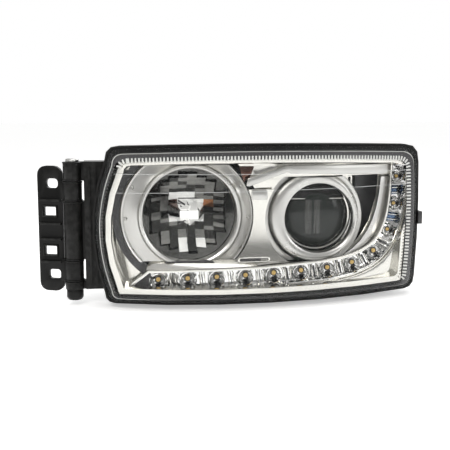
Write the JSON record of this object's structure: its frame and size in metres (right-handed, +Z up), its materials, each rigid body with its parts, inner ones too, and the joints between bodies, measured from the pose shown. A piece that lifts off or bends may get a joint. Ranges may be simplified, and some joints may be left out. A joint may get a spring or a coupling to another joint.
{
  "type": "vehicle headlamp",
  "caption": "Hinged heavy-vehicle headlamp with a reflector high beam, a projector low beam, a curved light strip, aiming gimbal and rear service caps.",
  "frame": {"origin": "on the flat underside of the middle foot of the housing, in line with the aiming gimbal", "axes": "+Z up, the clear lens faces -Y, +X to the right seen from in front, so the hinge bracket is at -X"},
  "size_m": [0.5405, 0.19, 0.219],
  "materials": {
    "black_plastic": "matt, fine grain",
    "clear_lens": "clear polished polycarbonate",
    "chrome": "bright warm metallised",
    "satin_chrome": "satin metallised",
    "mirror_coat": "vacuum-aluminised",
    "charcoal_plastic": "satin charcoal",
    "optic_glass": "clear",
    "rubber": "matt",
    "steel": "zinc plated",
    "circuit_board": "solder mask",
    "nylon": "natural nylon",
    "cast_aluminium": "as cast"
  },
  "bodies": {
    "lamp_body": {"housing": "black_plastic", "lens_cover": "clear_lens", "lens_seal": "rubber", "lens_clip": "steel", "bezel": "chrome", "high_beam_trim_ring": "satin_chrome", "projector_trim_ring": "chrome", "corner_blade": "satin_chrome", "centre_panel": "chrome", "side_shroud": "charcoal_plastic", "drl_reflector_strip": "mirror_coat", "drl_circuit_board": "circuit_board", "drl_lens_01": "optic_glass", "drl_lens_02": "optic_glass", "drl_lens_03": "optic_glass", "drl_lens_04": "optic_glass", "drl_lens_05": "optic_glass", "drl_lens_06": "optic_glass", "drl_lens_07": "optic_glass", "drl_lens_08": "optic_glass", "drl_lens_09": "optic_glass", "drl_lens_10": "optic_glass", "drl_lens_11": "optic_glass", "drl_lens_12": "optic_glass", "pivot_bracket": "black_plastic", "yaw_pin": "steel", "levelling_motor": "black_plastic", "drl_driver": "cast_aluminium", "connector_socket": "black_plastic", "breather_left": "rubber", "breather_right": "rubber", "hinge_pin": "steel", "hinge_pin_nut": "black_plastic"},
    "hinge_bracket": {"hinge_bracket": "black_plastic", "hinge_bush_upper": "nylon", "hinge_bush_lower": "nylon"},
    "gimbal": {"gimbal_block": "nylon", "pitch_pin_left": "steel", "pitch_pin_right": "steel"},
    "aimed_lamps": {"aim_frame": "black_plastic", "high_beam_reflector": "mirror_coat", "high_beam_bulb": "optic_glass", "bulb_shield": "satin_chrome", "projector_lens": "optic_glass", "lens_retainer": "black_plastic", "lens_holder": "satin_chrome", "projector_reflector": "mirror_coat", "cutoff_shield": "steel", "low_beam_bulb": "optic_glass"},
    "levelling_pushrod": {"levelling_pushrod": "nylon"},
    "yaw_stud": {"yaw_adjuster_stud": "nylon"},
    "yaw_knob": {"yaw_adjuster_knob": "nylon"},
    "high_cap_seal": {"high_cap_seal": "rubber"},
    "high_cap": {"high_cap": "black_plastic"},
    "low_cap_seal": {"low_cap_seal": "rubber"},
    "low_cap": {"low_cap": "black_plastic"},
    "high_bulb_clip": {"high_bulb_clip": "steel"},
    "low_bulb_clip": {"low_bulb_clip": "steel"}
  },
  "joints": [
    {"name": "bracket_swing", "type": "hinge", "parent": "lamp_body", "child": "hinge_bracket", "pos_m": [-0.239, -0.014, 0.118], "axis": [0, 0, 1], "range_deg": [0, 75]},
    {"name": "aim_yaw", "type": "hinge", "parent": "lamp_body", "child": "gimbal", "pos_m": [0, -0.002, 0.118], "axis": [0, 0, 1], "range_deg": [-2, 2]},
    {"name": "aim_pitch", "type": "hinge", "parent": "gimbal", "child": "aimed_lamps", "pos_m": [0, -0.002, 0.118], "axis": [1, 0, 0], "range_deg": [-2.5, 2.5]},
    {"name": "levelling_push", "type": "slide", "parent": "lamp_body", "child": "levelling_pushrod", "axis": [0, 1, 0], "range_m": [-0.0026, 0.0026]},
    {"name": "yaw_push", "type": "slide", "parent": "lamp_body", "child": "yaw_stud", "axis": [0, 1, 0], "range_m": [-0.006, 0.006]},
    {"name": "yaw_knob_turn", "type": "hinge", "parent": "lamp_body", "child": "yaw_knob", "pos_m": [-0.167, 0.074, 0.118], "axis": [0, 1, 0], "range_deg": [-180, 180]},
    {"name": "high_cap_pull", "type": "slide", "parent": "lamp_body", "child": "high_cap_seal", "axis": [0, 1, 0], "range_m": [0, 0.03]},
    {"name": "high_cap_turn", "type": "hinge", "parent": "high_cap_seal", "child": "high_cap", "pos_m": [-0.085, 0.08, 0.1235], "axis": [0, 1, 0], "range_deg": [0, 45]},
    {"name": "low_cap_pull", "type": "slide", "parent": "lamp_body", "child": "low_cap_seal", "axis": [0, 1, 0], "range_m": [0, 0.03]},
    {"name": "low_cap_turn", "type": "hinge", "parent": "low_cap_seal", "child": "low_cap", "pos_m": [0.092, 0.08, 0.118], "axis": [0, 1, 0], "range_deg": [0, 45]},
    {"name": "high_clip_swing", "type": "hinge", "parent": "aimed_lamps", "child": "high_bulb_clip", "pos_m": [-0.085, 0.0219, 0.1425], "axis": [1, 0, 0], "range_deg": [0, 70]},
    {"name": "low_clip_swing", "type": "hinge", "parent": "aimed_lamps", "child": "low_bulb_clip", "pos_m": [0.092, 0.0339, 0.137], "axis": [1, 0, 0], "range_deg": [0, 60]}
  ],
  "couplings": [
    {"joint": "levelling_push", "follows": "aim_pitch", "m_per_rad": 0.055},
    {"joint": "yaw_push", "follows": "aim_yaw", "m_per_rad": -0.167},
    {"joint": "yaw_knob_turn", "follows": "aim_yaw", "ratio": 87.44}
  ]
}
